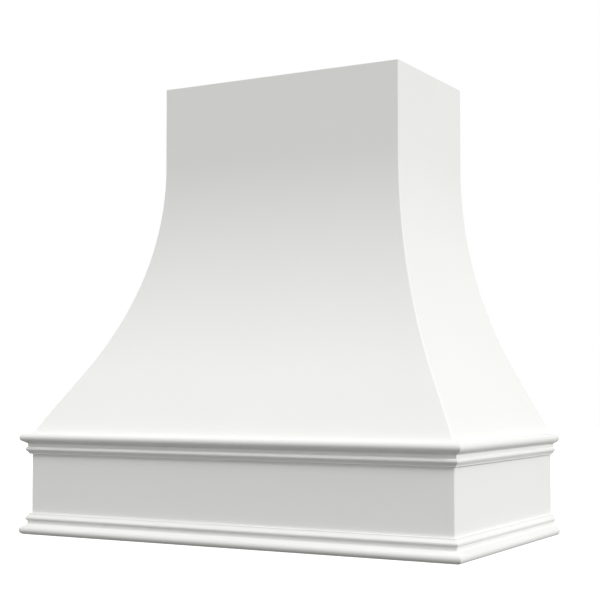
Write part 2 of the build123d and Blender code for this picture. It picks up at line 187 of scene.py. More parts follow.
# %% [markdown]
# ## The floor
# The hood hangs at its real height, so its shadow falls far below it. The floor is one wide pale
# sheet. To the eye it is white less that shadow. To other rays it is a darker matt grey, because a
# white floor would throw light up under the mouldings, where the photograph is dark. Seen from
# below it lets everything through, so the inside of the hood can be looked at.

# %% Mix the floor's finish
FLOOR_LEVEL = -1.6764  # metres from the hood's rim down to the floor
FLOOR_REACH = 60.0  # metres each way
FLOOR_GLOW = 0.35  # lifts the pale floor to white

matt_floor = bpy.data.materials.new("matt_floor")
matt_floor.use_nodes = True
floor_tree = matt_floor.node_tree
floor_tree.nodes.clear()
unseen = add(floor_tree, "ShaderNodeBsdfDiffuse", {"Color": paint_chip("#5c5c5a")})
pale = add(floor_tree, "ShaderNodeBsdfDiffuse", {"Color": paint_chip("#f2f2f0")})
glow = add(floor_tree, "ShaderNodeEmission", {"Color": (1, 1, 1, 1), "Strength": FLOOR_GLOW})
seen = add(floor_tree, "ShaderNodeAddShader", [pale, glow])
from_above = add(floor_tree, "ShaderNodeMixShader", [seen_directly(floor_tree), unseen, seen])
below = add(floor_tree, "ShaderNodeNewGeometry").outputs["Backfacing"]
clear = add(floor_tree, "ShaderNodeBsdfTransparent")
one_way = add(floor_tree, "ShaderNodeMixShader", [below, from_above, clear])
add(floor_tree, "ShaderNodeOutputMaterial", {"Surface": one_way})

# %% Lay the floor
quarters = ((-1, -1), (1, -1), (1, 1), (-1, 1))
floor_corners = [(x * FLOOR_REACH, y * FLOOR_REACH, FLOOR_LEVEL) for x, y in quarters]
floor_mesh = bpy.data.meshes.new("studio_floor")
floor_mesh.from_pydata(floor_corners, [], [(0, 1, 2, 3)])
floor_mesh.materials.append(matt_floor)
floor = bpy.data.objects.new("studio_floor", floor_mesh)
scene.collection.objects.link(floor)
print("floor", -FLOOR_LEVEL, "m under the rim")

# %% [markdown]
# ## The sizes of the hood
# These are the named sizes of the solid model, in millimetres. The skirt's section has three parts:
# a plumb line, an arc that starts plumb, and a straight slope down to the apron. Only one slope
# brings the skirt out by exactly its flare, so it is searched for by halving.

# %% Name the sizes
STACK_WIDTH, STACK_DEPTH, FLARE = 533.4, 304.8, 190.5
HOOD_HEIGHT, APRON_HEIGHT = 914.4, 202.0
PLUMB_DROP, FOOT_RISE = 165.1, 118.0
PANEL, BOARD, EDGE_ROUND = 6.35, 19.05, 2.0
NOSE_REACH = 18.5

HALF_STACK = STACK_WIDTH / 2
HALF_WIDTH = HALF_STACK + FLARE
HOOD_DEPTH = STACK_DEPTH + FLARE
ARC_TOP = HOOD_HEIGHT - PLUMB_DROP
ARC_HEIGHT = ARC_TOP - APRON_HEIGHT - FOOT_RISE
WALL = (HOOD_DEPTH + NOSE_REACH) / 2  # y of the wall's face
print("hood", 2 * HALF_WIDTH, "wide,", HOOD_DEPTH, "deep,", HOOD_HEIGHT, "high")

# %% Find the slope of the foot
HALVINGS = 60  # enough to use up a float's digits


def solve_flare_angle():
    """Slope of the straight foot, from plumb, that brings the skirt out by its flare."""
    low, high = 0.0, math.pi / 2
    for _ in range(HALVINGS):
        angle = (low + high) / 2
        if ARC_HEIGHT * math.tan(angle / 2) + FOOT_RISE * math.tan(angle) < FLARE:
            low = angle
        else:
            high = angle
    return low


FLARE_ANGLE = solve_flare_angle()
ARC_RADIUS = ARC_HEIGHT / math.sin(FLARE_ANGLE)
FOOT_LENGTH = FOOT_RISE / math.cos(FLARE_ANGLE)
print("slope", round(math.degrees(FLARE_ANGLE), 2), "degrees")
print("arc radius", round(ARC_RADIUS, 1), "mm")

# %% [markdown]
# ## Sprayed satin enamel
# The outside is primed wood under sprayed enamel, a pigmented lacquer. It is nearly white and very
# slightly warm, with a soft, wide sheen: a dielectric of IOR 1.5 and a roughness about 0.6. A
# glossier coat would flash white where the curve mirrors a lamp, which the photograph doesn't show.
# A sprayed coat is never quite even in shade, and it dries to a faint orange peel. The peel is
# about 1 mm across, finer than the picture shows, so it is drawn at 3 mm, in the sheen and in a
# very shallow relief.


# %% Start a finish
def new_finish(name):
    """An empty material with one Principled surface; returns it with its tree and surface."""
    finish = bpy.data.materials.new(name)
    finish.use_nodes = True
    tree = finish.node_tree
    tree.nodes.clear()
    surface = add(tree, "ShaderNodeBsdfPrincipled")
    add(tree, "ShaderNodeOutputMaterial", {"Surface": surface})
    return finish, tree, surface


def textured(tree, surface, colour, pattern, rough, relief, ior):
    """Joins a colour to the surface, with a pattern in its roughness and in low relief.

    Rough is the range that the pattern spans; relief is a strength and a depth in millimetres.
    """
    polish = {"Value": pattern, "To Min": rough[0], "To Max": rough[1]}
    polish = add(tree, "ShaderNodeMapRange", polish)
    bump = {"Height": pattern, "Strength": relief[0], "Distance": relief[1] * MM}
    bump = add(tree, "ShaderNodeBump", bump)
    tree.links.new(colour.outputs["Result"], surface.inputs["Base Color"])
    tree.links.new(polish.outputs[0], surface.inputs["Roughness"])
    tree.links.new(bump.outputs[0], surface.inputs["Normal"])
    surface.inputs["IOR"].default_value = ior


# %% Mix the enamel
PEEL = 3.0  # mm across
COVERAGE = 290.0  # mm from one pass of the spray gun to where the coat differs again
ENAMEL_ROUGH, PEEL_RELIEF, ENAMEL_IOR = (0.58, 0.64), (0.25, 0.02), 1.5


def sprayed_satin_enamel():
    finish, tree, surface = new_finish("sprayed_satin_enamel")
    place = add(tree, "ShaderNodeTexCoord").outputs["Object"]
    coat = {"Vector": place, "Scale": 1 / (COVERAGE * MM), "Detail": 3.0}
    coat = add(tree, "ShaderNodeTexNoise", coat)
    chips = {"A": paint_chip("#ebebe8"), "B": paint_chip("#eeeeec")}
    shade = add(tree, "ShaderNodeMix", {"Factor": coat, **chips}, data_type="RGBA")
    peel = {"Vector": place, "Scale": 1 / (PEEL * MM), "Detail": 1.0}
    peel = add(tree, "ShaderNodeTexNoise", peel)
    textured(tree, surface, shade, peel, ENAMEL_ROUGH, PEEL_RELIEF, ENAMEL_IOR)
    return finish


enamel = sprayed_satin_enamel()
print("finish:", enamel.name)

# %% [markdown]
# ## The grain of bare wood
# The inside stays bare, because nobody in the kitchen sees it. All wood is long fibres, so every
# wood here starts from noise that is stretched sixty times along its grain. The width of a streak
# is a real size in millimetres. The noise reads Object coordinates, so it runs through a board as
# real grain does and meets the edges rightly.

# %% Stretch the grain
STRETCH = 60  # how much longer a streak is than it is wide
WOOD_ROUGH, WOOD_RELIEF, WOOD_IOR = (0.78, 0.60), (0.4, 0.1), 1.53  # pores are rough and sunken


def grain_streaks(tree, grain, streak, detail, through=None):
    """Noise drawn out along the axis of the grain; streak is its width in millimetres.

    Along the axis through a bent sheet it doesn't change, so it follows the bend.
    """
    place = add(tree, "ShaderNodeTexCoord").outputs["Object"]
    across, along = 1 / (streak * MM), 1 / (STRETCH * streak * MM)
    scale = [{grain: along, through: 0.0}.get(axis, across) for axis in "XYZ"]
    board = add(tree, "ShaderNodeMapping", {"Vector": place, "Scale": scale})
    noise = {"Vector": board, "Scale": 1.0, "Detail": detail, "Distortion": 0.4}
    return add(tree, "ShaderNodeTexNoise", noise)


def parted(tree, pattern, fade, first, second):
    """Two colours parted by a pattern, which fades from the first to the second over a range."""
    share = {"Value": pattern, "From Min": fade[0], "From Max": fade[1]}
    share = add(tree, "ShaderNodeMapRange", share)
    colours = {"Factor": share, "A": first, "B": second}
    return add(tree, "ShaderNodeMix", colours, data_type="RGBA")


# %% [markdown]
# ## Bending plywood
# The skins are 1/4 inch bending plywood. Its outer plies are a plain tropical wood, reddish tan,
# with short open pores, and their grain runs upright so that the sheet rolls easily round the
# curve. A sheet's veneer shows wide, quiet bands, and the pores are drawn 1.5 mm wide rather than
# 0.3 mm, so that they show. The grain bends with its sheet: the front bends towards y and the sides
# towards x, so each of the two has a veneer that doesn't change along that axis.

# %% Peel the bending plywood
def bending_plywood(name, through):
    finish, tree, surface = new_finish(name)
    bands = grain_streaks(tree, "Z", streak=30.0, detail=3.0, through=through)
    pores = grain_streaks(tree, "Z", streak=1.5, detail=4.0, through=through)
    tan, light_tan, brown = paint_chip("#c09a70"), paint_chip("#d6b78d"), paint_chip("#a67f58")
    veneer = parted(tree, bands, (0.35, 0.65), tan, light_tan)
    colour = parted(tree, pores, (0.30, 0.50), brown, veneer)
    textured(tree, surface, colour, pores, WOOD_ROUGH, WOOD_RELIEF, WOOD_IOR)
    return finish


front_veneer = bending_plywood("bending_ply_front", "Y")
side_veneer = bending_plywood("bending_ply_sides", "X")
print("finishes:", front_veneer.name, side_veneer.name)

# %% [markdown]
# ## Poplar
# Top rails, wall rails, cleats and corner blocks are sawn from poplar, a cheap straight wood that
# takes screws well. Its sapwood is cream and its heartwood a greyish green, and both can lie in one
# board. A slow noise decides which, and a finer one draws the growth rings. Each board's grain runs
# along its length, so there is one poplar for each direction.


# %% Saw the poplar
def poplar(name, grain):
    finish, tree, surface = new_finish(name)
    heart = grain_streaks(tree, grain, streak=45.0, detail=2.0)
    rings = grain_streaks(tree, grain, streak=4.0, detail=5.0)
    cream, green, late_wood = paint_chip("#dfd2ab"), paint_chip("#c9c195"), paint_chip("#bfae7f")
    timber = parted(tree, heart, (0.46, 0.62), cream, green)
    colour = parted(tree, rings, (0.34, 0.58), late_wood, timber)
    textured(tree, surface, colour, rings, WOOD_ROUGH, WOOD_RELIEF, WOOD_IOR)
    return finish


poplars = {grain: poplar(f"poplar_along_{grain.lower()}", grain) for grain in "XYZ"}
print("finishes:", [wood.name for wood in poplars.values()])

# %% [markdown]
# ## Birch plywood
# Ribs and base rails are birch plywood: pale veneers glued with their grain crossed in turn. On the
# faces only the outer veneer shows. On the edges the plies show as stripes, light where the grain
# runs along and darker where the ends of the fibres show, with a thin brown glue line between. A
# cosine of the depth through the sheet gives the stripes, so the same nodes work on any face. Such
# plywood has thirteen plies; nine are drawn here, because finer ones would melt into grey.


# %% Lay up the birch plywood
def ply_wave(tree, stack, centre, period):
    """1 in the middle of a long-grain ply and -1 in a cross ply; stack is the way through them."""
    place = add(tree, "ShaderNodeTexCoord").outputs["Object"]
    from_centre = add(tree, VECTOR_MATH, [place, [c * MM for c in centre]], operation="SUBTRACT")
    depth = add(tree, VECTOR_MATH, [from_centre, stack], operation="DOT_PRODUCT").outputs["Value"]
    turns = add(tree, MATH, [depth, math.tau / (period * MM)], operation="MULTIPLY")
    return add(tree, MATH, [turns], operation="COSINE")


def birch_plywood(name, grain, stack, centre, period):
    finish, tree, surface = new_finish(name)
    figure = grain_streaks(tree, grain, streak=14.0, detail=3.0)
    fibres = grain_streaks(tree, grain, streak=1.2, detail=4.0)
    wave = ply_wave(tree, stack, centre, period)
    face = parted(tree, figure, (0.35, 0.65), paint_chip("#dcc497"), paint_chip("#e9d8b2"))
    ends = {"Factor": fibres, "A": paint_chip("#a9844f"), "B": paint_chip("#cdae7e")}
    ends = add(tree, "ShaderNodeMix", ends, data_type="RGBA")
    plies = parted(tree, wave, (-0.15, 0.15), ends, face)
    off_glue = add(tree, MATH, [wave], operation="ABSOLUTE")
    colour = parted(tree, off_glue, (0.08, 0.3), paint_chip("#8a6640"), plies)
    textured(tree, surface, colour, fibres, WOOD_ROUGH, WOOD_RELIEF, WOOD_IOR)
    return finish


# %% [markdown]
# ## Plated screws and steel brads
# Wood screws are steel with a yellow chromate over zinc: a metal with a straw-gold tint that drifts
# a little in hue from bath to bath. Brads are bright drawn wire. A metal's colour is its
# reflection, so Metallic is 1 and the IOR stays as it is; only hue and roughness are chosen.


# %% Plate the metals
def bare_metal(name, tints, rough, patch):
    """A metal whose tint and roughness drift over patches of a given size in millimetres."""
    finish, tree, surface = new_finish(name)
    place = add(tree, "ShaderNodeTexCoord").outputs["Object"]
    drift = {"Vector": place, "Scale": 1 / (patch * MM), "Detail": 3.0}
    drift = add(tree, "ShaderNodeTexNoise", drift)
    tint = {"Factor": drift, "A": paint_chip(tints[0]), "B": paint_chip(tints[1])}
    tint = add(tree, "ShaderNodeMix", tint, data_type="RGBA")
    polish = {"Value": drift, "To Min": rough[0], "To Max": rough[1]}
    polish = add(tree, "ShaderNodeMapRange", polish)
    tree.links.new(tint.outputs["Result"], surface.inputs["Base Color"])
    tree.links.new(polish.outputs[0], surface.inputs["Roughness"])
    surface.inputs["Metallic"].default_value = 1.0
    return finish


STRAW_GOLD, STEEL_GREY = ("#dcc07a", "#b08f52"), ("#c9c7c2", "#a3a19c")
yellow_zinc = bare_metal("yellow_zinc_plate", STRAW_GOLD, rough=(0.28, 0.42), patch=3.0)
drawn_steel = bare_metal("bright_drawn_steel", STEEL_GREY, rough=(0.22, 0.36), patch=1.5)
print("finishes:", yellow_zinc.name, drawn_steel.name)

# %% [markdown]
# ## One rule for all that runs round the hood
# Skins, apron boards and mouldings are alike: a section that runs along a straight edge and is cut
# at 45 degrees where it meets the next one. Curve to Mesh alone would cut its ends square, so it
# only joins the points here. Then each point is placed by the rule of the mitre. For that, a point
# of the section knows how far out and up it lies, and a column of the run knows its share of the
# way. The last columns turn through 45 degrees about the corner: the sanded edge.


# %% Start a tree of geometry nodes
def tree_with(name, inputs):
    """A geometry tree with named inputs; returns it with the sockets that give their values."""
    tree = bpy.data.node_groups.new(name, "GeometryNodeTree")
    tree.interface.new_socket("Geometry", in_out="INPUT", socket_type="NodeSocketGeometry")
    for label, kind in inputs.items():
        tree.interface.new_socket(label, in_out="INPUT", socket_type=f"NodeSocket{kind}")
    tree.interface.new_socket("Geometry", in_out="OUTPUT", socket_type="NodeSocketGeometry")
    return tree, add(tree, "NodeGroupInput").outputs


RUN_INPUTS = {
    "Near corner": "Vector",
    "Near spread": "Vector",
    "Far corner": "Vector",
    "Far spread": "Vector",
    "Facing": "Vector",
    "Corner round": "Float",
    "Near steps": "Int",
    "Far steps": "Int",
    "Columns": "Int",
}

# %% [markdown]
# The columns are numbered along the run. Those before the near corner and after the far corner
# belong to the rounding and get a turn from -1 to 1. The ones between share out the straight. They
# stand closer together near the corners, because wide faces beside narrow ones would bend the
# shading of the flat.


# %% Number the columns
def corner_turn(tree, given, index, far_start):
    """How far a column has turned: -1 at the near mitre, 0 on the straight, 1 at the far mitre.

    A square end has no steps, and a division by them gives 0 here, which is right.
    """
    near_steps, far_steps = given["Near steps"], given["Far steps"]
    before = add(tree, MATH, [near_steps, index], operation="SUBTRACT")
    before = add(tree, MATH, [before, 0.0], operation="MAXIMUM")
    near_turn = add(tree, MATH, [before, near_steps], operation="DIVIDE")
    after = add(tree, MATH, [index, far_start], operation="SUBTRACT")
    after = add(tree, MATH, [after, 0.0], operation="MAXIMUM")
    far_turn = add(tree, MATH, [after, far_steps], operation="DIVIDE")
    return add(tree, MATH, [far_turn, near_turn], operation="SUBTRACT")


def run_columns(tree, given):
    """A line of points; each carries its eased share of the way and its turn, as "run"."""
    near_steps, columns = given["Near steps"], given["Columns"]
    index = add(tree, "GeometryNodeInputIndex")
    last = add(tree, MATH, [columns, 1.0], operation="SUBTRACT")
    far_start = add(tree, MATH, [last, given["Far steps"]], operation="SUBTRACT")
    turn = corner_turn(tree, given, index, far_start)
    passed = add(tree, MATH, [index, near_steps], operation="SUBTRACT")
    straight = add(tree, MATH, [far_start, near_steps], operation="SUBTRACT")
    share = add(tree, MATH, [passed, straight], operation="DIVIDE", use_clamp=True)
    swing = add(tree, MATH, [share, math.pi], operation="MULTIPLY")
    swing = add(tree, MATH, [swing], operation="COSINE")
    eased = add(tree, MATH, [swing, -0.5, 0.5], operation="MULTIPLY_ADD")
    run = add(tree, "ShaderNodeCombineXYZ", [eased, turn])
    line = add(tree, "GeometryNodeMeshLine", {"Count": columns, "Offset": (1, 0, 0)})
    path = add(tree, "GeometryNodeMeshToCurve", [line])
    kept = {"Geometry": path, "Name": "run", "Value": run}
    return add(tree, "GeometryNodeStoreNamedAttribute", kept, data_type="FLOAT_VECTOR")


# %% [markdown]
# A corner has a spread: where the section moves as it goes out by one. At a hip the spread leads
# outward and along alike, which is the 45 degree mitre. At the wall it leads straight out, which is
# a square cut. A point lies between the two, at its column's share of the way.


# %% Read what the points know
def stored(tree, name):
    """The numbers that a point carries under a name.

    Its "section" is how far out and up it lies, and 1 where its wood stays bare. Its "run" is its
    share of the way, and how far its column has turned.
    """
    vector = add(tree, "GeometryNodeInputNamedAttribute", {"Name": name}, data_type="FLOAT_VECTOR")
    return add(tree, "ShaderNodeSeparateXYZ", [vector]).outputs


# %% Place the points by the mitre
def at_corner(tree, given, end, reach):
    """Where the section's point would stand in the cut at one end."""
    moved = {"Vector": given[f"{end} spread"], "Scale": reach}
    moved = add(tree, VECTOR_MATH, moved, operation="SCALE")
    return add(tree, VECTOR_MATH, [given[f"{end} corner"], moved], operation="ADD")


def round_the_corner(tree, given, bare, turned):
    """The way from a corner's centre out to its rounded edge; the bare side stays square."""
    facing = given["Facing"]
    angle = add(tree, MATH, [turned, math.pi / 4], operation="MULTIPLY")
    cosine = add(tree, MATH, [angle], operation="COSINE")
    sine = add(tree, MATH, [angle], operation="SINE")
    outward = add(tree, "ShaderNodeMix", {"Factor": bare, "A": cosine, "B": 1.0})
    sideways = add(tree, "ShaderNodeMix", {"Factor": bare, "A": sine, "B": turned})
    course = add(tree, VECTOR_MATH, [(0, 0, 1), facing], operation="CROSS_PRODUCT")
    ahead = add(tree, VECTOR_MATH, {"Vector": facing, "Scale": outward}, operation="SCALE")
    aside = add(tree, VECTOR_MATH, {"Vector": course, "Scale": sideways}, operation="SCALE")
    both = add(tree, VECTOR_MATH, [ahead, aside], operation="ADD")
    radius = {"Vector": both, "Scale": given["Corner round"]}
    return add(tree, VECTOR_MATH, radius, operation="SCALE")


def mitred_place(tree, given):
    """Where a point of the run belongs."""
    out, up, bare = stored(tree, "section")
    along, turned, _ = stored(tree, "run")
    reach = add(tree, MATH, [out, given["Corner round"]], operation="SUBTRACT")
    ends = {"A": at_corner(tree, given, "Near", reach), "B": at_corner(tree, given, "Far", reach)}
    centre = add(tree, "ShaderNodeMix", {"Factor": along, **ends}, data_type="VECTOR")
    rounded = round_the_corner(tree, given, bare, turned)
    plan = add(tree, VECTOR_MATH, [centre, rounded], operation="ADD")
    height = add(tree, "ShaderNodeCombineXYZ", {"Z": up})
    return add(tree, VECTOR_MATH, [plan, height], operation="ADD")


# %% Join columns and section
def mitred_run():
    tree, given = tree_with("mitred_run", RUN_INPUTS)
    path, section = run_columns(tree, given), given["Geometry"]
    joined = {"Curve": path, "Profile Curve": section, "Fill Caps": True}
    joined = add(tree, "GeometryNodeCurveToMesh", joined)
    placed = {"Geometry": joined, "Position": mitred_place(tree, given)}
    placed = add(tree, "GeometryNodeSetPosition", placed)
    smooth = add(tree, "GeometryNodeSetShadeSmooth", [placed])
    add(tree, "NodeGroupOutput", [smooth])
    return tree


RUN = mitred_run()
print("mitred run:", len(RUN.nodes), "nodes")

# %% [markdown]
# A tree that makes a piece sends its section through the run, and ends in Realize Instances and Set
# Material. There are two finishes: all faces get the outer one, then those whose points are marked
# bare get the inner one, which is how paint stops at the edge of a board. A face on such an edge
# has half of its points marked, so the share that is asked for decides whether edges are bare.

# %% Finish a piece's tree
FINISH_INPUTS = {"Bare from": "Float", "Outer finish": "Material", "Inner finish": "Material"}
EDGES_BARE, EDGES_PAINTED = 0.25, 0.9


def run_and_finish(tree, given, section):
    """Sends a section through the mitred run and coats its outer and inner faces."""
    feed = {"Geometry": section, **{label: given[label] for label in RUN_INPUTS}}
    run = add(tree, "GeometryNodeGroup", feed, node_tree=RUN)
    bare = stored(tree, "section")["Z"]
    of_face = add(tree, "GeometryNodeFieldOnDomain", [bare], domain="FACE")
    inside = [of_face, given["Bare from"]]
    inside = add(tree, MATH, inside, operation="GREATER_THAN")
    real = add(tree, "GeometryNodeRealizeInstances", [run])
    outer = {"Geometry": real, "Material": given["Outer finish"]}
    outer = add(tree, "GeometryNodeSetMaterial", outer)
    inner = {"Geometry": outer, "Selection": inside, "Material": given["Inner finish"]}
    inner = add(tree, "GeometryNodeSetMaterial", inner)
    add(tree, "NodeGroupOutput", [inner])


# %% [markdown]
# ## The rule of the flare
# On the real hood a sheet of bending plywood is pulled over curved ribs. Its shape follows a rule,
# so its section comes from the rule and not from drawn points. Walking down the sheet, the way is
# plumb at first, then it bends, and what is left runs straight. Moving in by an inset, square to
# the surface, gives the inner face of the sheet, and a deeper pair of insets gives a rib.

# %% Walk down the flare
FLARE_INPUTS = {
    "Top": "Float",
    "Plumb length": "Float",
    "Arc radius": "Float",
    "Flare angle": "Float",
    "Foot length": "Float",
    "Outer inset": "Float",
    "Inner inset": "Float",
    "Rows": "Int",
}


def share_of_way(tree, rows):
    """0 at the top and 1 at the foot, down the outer face and back up the inner; and which face."""
    index = add(tree, "GeometryNodeInputIndex")
    half_on = add(tree, MATH, [index, 0.5], operation="ADD")
    inner = add(tree, MATH, [half_on, rows], operation="GREATER_THAN")
    folded = add(tree, MATH, [half_on, rows], operation="PINGPONG")
    walked = add(tree, MATH, [folded, 0.5], operation="SUBTRACT")
    last = add(tree, MATH, [rows, 1.0], operation="SUBTRACT")
    return add(tree, MATH, [walked, last], operation="DIVIDE"), inner


def walk_down(tree, given, share):
    """How much of a point's way is plumb, through what angle it has bent, and what is straight."""
    plumb, radius = given["Plumb length"], given["Arc radius"]
    flare, foot = given["Flare angle"], given["Foot length"]
    bend = add(tree, MATH, [radius, flare], operation="MULTIPLY")
    curved = add(tree, MATH, [plumb, bend], operation="ADD")
    whole = add(tree, MATH, [curved, foot], operation="ADD")
    down = add(tree, MATH, [share, whole], operation="MULTIPLY")
    on_plumb = add(tree, MATH, [down, plumb], operation="MINIMUM")
    past_plumb = add(tree, MATH, [down, plumb], operation="SUBTRACT")
    angle = add(tree, MATH, [past_plumb, radius], operation="DIVIDE")
    angle = add(tree, MATH, [angle, 0.0], operation="MAXIMUM")
    angle = add(tree, MATH, [angle, flare], operation="MINIMUM")
    past_bend = add(tree, MATH, [down, curved], operation="SUBTRACT")
    return on_plumb, angle, add(tree, MATH, [past_bend, 0.0], operation="MAXIMUM")


# %% Turn the walk into a section
def shorter_foot(tree, given, inset):
    """What is left of the straight foot further in: the bend there is longer, the foot shorter."""
    slope = add(tree, MATH, [given["Flare angle"]], operation="TANGENT")
    lost = add(tree, MATH, [slope, inset], operation="MULTIPLY")
    lost = add(tree, MATH, [lost, given["Foot length"]], operation="DIVIDE")
    return add(tree, MATH, [1.0, lost], operation="SUBTRACT")


def flare_point(tree, given):
    """Out, up and bare, for each point of the strip's section."""
    outer, inner_inset = given["Outer inset"], given["Inner inset"]
    share, inner = share_of_way(tree, given["Rows"])
    on_plumb, angle, straight = walk_down(tree, given, share)
    thickness = add(tree, MATH, [inner_inset, outer], operation="SUBTRACT")
    inset = add(tree, MATH, [inner, thickness, outer], operation="MULTIPLY_ADD")
    kept = shorter_foot(tree, given, inset)
    straight = add(tree, MATH, [straight, kept], operation="MULTIPLY")
    arm = add(tree, MATH, [given["Arc radius"], inset], operation="ADD")
    cosine = add(tree, MATH, [angle], operation="COSINE")
    sine = add(tree, MATH, [angle], operation="SINE")
    swing = add(tree, MATH, [arm, cosine], operation="MULTIPLY")
    out = add(tree, MATH, [given["Arc radius"], swing], operation="SUBTRACT")
    out = add(tree, MATH, [straight, sine, out], operation="MULTIPLY_ADD")
    drop = add(tree, MATH, [arm, sine, on_plumb], operation="MULTIPLY_ADD")
    drop = add(tree, MATH, [straight, cosine, drop], operation="MULTIPLY_ADD")
    up = add(tree, MATH, [given["Top"], drop], operation="SUBTRACT")
    return add(tree, "ShaderNodeCombineXYZ", [out, up, inner])


# %% Make the tree of a flared strip
def flared_strip():
    inputs = {**FLARE_INPUTS, **RUN_INPUTS, **FINISH_INPUTS}
    tree, given = tree_with("flared_strip", inputs)
    count = add(tree, MATH, [given["Rows"], 2.0], operation="MULTIPLY")
    line = add(tree, "GeometryNodeMeshLine", {"Count": count, "Offset": (0, 1, 0)})
    loop = add(tree, "GeometryNodeMeshToCurve", [line])
    loop = add(tree, "GeometryNodeSetSplineCyclic", {"Geometry": loop, "Cyclic": True})
    kept = {"Geometry": loop, "Name": "section", "Value": flare_point(tree, given)}
    section = add(tree, "GeometryNodeStoreNamedAttribute", kept, data_type="FLOAT_VECTOR")
    run_and_finish(tree, given, section)
    return tree


FLARED_STRIP = flared_strip()
print("flared strip:", len(FLARED_STRIP.nodes), "nodes")

# %% [markdown]
# ## From tree to piece
# A modifier's inputs have names for people and identifiers for the file, and only an identifier
# sets them, so they are looked up by name. The evaluated result is kept as a plain mesh, and the
# object that held the modifier goes. Edges sharper than 28 degrees are marked sharp: the arrises
# of boards stay crisp, and the rounds of the mouldings stay smooth.

# %% Keep the result as a plain mesh
SHARP_ANGLE = math.radians(28)


def give(modifier, values):
    """Fills a modifier's inputs, found by name and set by identifier."""
    for item in modifier.node_group.interface.items_tree:
        if item.in_out == "INPUT" and item.name in values:
            modifier[item.identifier] = values[item.name]


def grown(name, base, tree, values):
    """An object with the plain mesh that a tree grows from a base mesh."""
    seed = bpy.data.objects.new(f"{name}_seed", base)
    scene.collection.objects.link(seed)
    modifier = seed.modifiers.new("grow", "NODES")
    modifier.node_group = tree
    give(modifier, values)
    depsgraph = bpy.context.evaluated_depsgraph_get()
    mesh = bpy.data.meshes.new_from_object(seed.evaluated_get(depsgraph), depsgraph=depsgraph)
    bpy.data.objects.remove(seed)
    for label in ("section", "run", "way_in"):
        if label in mesh.attributes:
            mesh.attributes.remove(mesh.attributes[label])
    mesh.name = name
    mesh.set_sharp_from_angle(angle=SHARP_ANGLE)
    piece = bpy.data.objects.new(name, mesh)
    scene.collection.objects.link(piece)
    return piece


# %% Let a piece stand for its solid
replaced = set()


def stand_for(piece, node):
    """The piece rides on the hood in the place of a solid, which is hidden."""
    replaced.add(node)
    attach(piece, "root")
    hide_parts(node)
    size = [round(side / MM, 1) for side in piece.dimensions]
    print(f"{piece.name}: {len(piece.data.polygons)} faces, {size} mm")


# %% [markdown]
# ## The skins
# Three sheets meet in mitred hips. The front runs from hip to hip, and each side runs from its hip
# to the wall. From near to far each goes counterclockwise round the hood, seen from above, so all
# three face outwards. 72 rows down the sheet keep the curve within 0.02 mm of the true arc.


# %% Set out the three sides
def side_run(near, near_spread, far, far_spread, facing, near_steps, far_steps):
    """Inputs of a run between two corners on plan, given in millimetres."""
    return {
        "Near corner": [c * MM for c in near],
        "Near spread": near_spread,
        "Far corner": [c * MM for c in far],
        "Far spread": far_spread,
        "Facing": facing,
        "Near steps": near_steps,
        "Far steps": far_steps,
    }


ROUND_STEPS = 4


def three_sides(half_width, depth):
    """The runs of the front, the right side and the left side of a box against the wall."""
    left, right, front, back = -half_width, half_width, WALL - depth, WALL
    left_hip, right_hip, steps = (-1, -1, 0), (1, -1, 0), ROUND_STEPS
    left_front, right_front = (left, front, 0), (right, front, 0)
    out_left, out_right, out_front = (-1, 0, 0), (1, 0, 0), (0, -1, 0)
    right_run = (right_front, right_hip, (right, back, 0), out_right, out_right, steps, 0)
    left_run = ((left, back, 0), out_left, left_front, left_hip, out_left, 0, steps)
    return {
        "front": side_run(left_front, left_hip, right_front, right_hip, out_front, steps, steps),
        "right": side_run(*right_run),
        "left": side_run(*left_run),
    }


# %% Pull the skins round the flare
SKIN_ROWS, COLUMNS = 72, 26

flare_sizes = {
    "Top": HOOD_HEIGHT * MM,
    "Plumb length": PLUMB_DROP * MM,
    "Arc radius": ARC_RADIUS * MM,
    "Flare angle": FLARE_ANGLE,
    "Foot length": FOOT_LENGTH * MM,
}
skin_sizes = {
    **flare_sizes,
    "Outer inset": 0.0,
    "Inner inset": PANEL * MM,
    "Rows": SKIN_ROWS,
    "Corner round": EDGE_ROUND * MM,
    "Columns": COLUMNS,
    "Bare from": EDGES_BARE,
    "Outer finish": enamel,
}
for side, run in three_sides(HALF_STACK, STACK_DEPTH).items():
    veneer = front_veneer if side == "front" else side_veneer
    values = {**skin_sizes, **run, "Inner finish": veneer}
    skin = grown(f"{side}_skin", bpy.data.meshes.new(f"{side}_skin_base"), FLARED_STRIP, values)
    stand_for(skin, f"{side}_panel")

# %% [markdown]
# ## The ribs
# Ribs repeat, and they follow the same flare as the skins, so the same tree makes them: a deeper
# strip that is only as long as a sheet of plywood is thick. Four stand behind the front skin, two
# behind each side, and one against the wall at either end, which stops under the rail that the
# hood hangs on. Their outer edges leave a thin glue line to the skin.

# %% Set out the ribs
GLUE_LINE, RIB_WIDTH, RIB_THICKNESS = 0.1, 44.45, 18.0
WALL_RAIL_HEIGHT, HIP_SPACE = 88.9, 19.0
RIB_INSET, RIB_TOP = PANEL + GLUE_LINE, HOOD_HEIGHT - BOARD
clear_of_hip = RIB_INSET + RIB_WIDTH + RIB_THICKNESS + HIP_SPACE
front_reach, side_reach = HALF_STACK - clear_of_hip, STACK_DEPTH - clear_of_hip
front_places = [front_reach * share for share in (-1, -1 / 3, 1 / 3, 1)]
side_places = [WALL - side_reach * share for share in (1 / 2, 1)]
print("front ribs at x", [round(x, 1) for x in front_places])
print("side ribs at y", [round(y, 1) for y in side_places])

# %% [markdown]
# The plies of a front rib lie side by side along x, and those of a side rib along y. All ribs of a
# kind share one material, so the stripes' period is set to fit a whole number of times between
# two ribs, and each rib then has a light ply in its middle and on both faces.

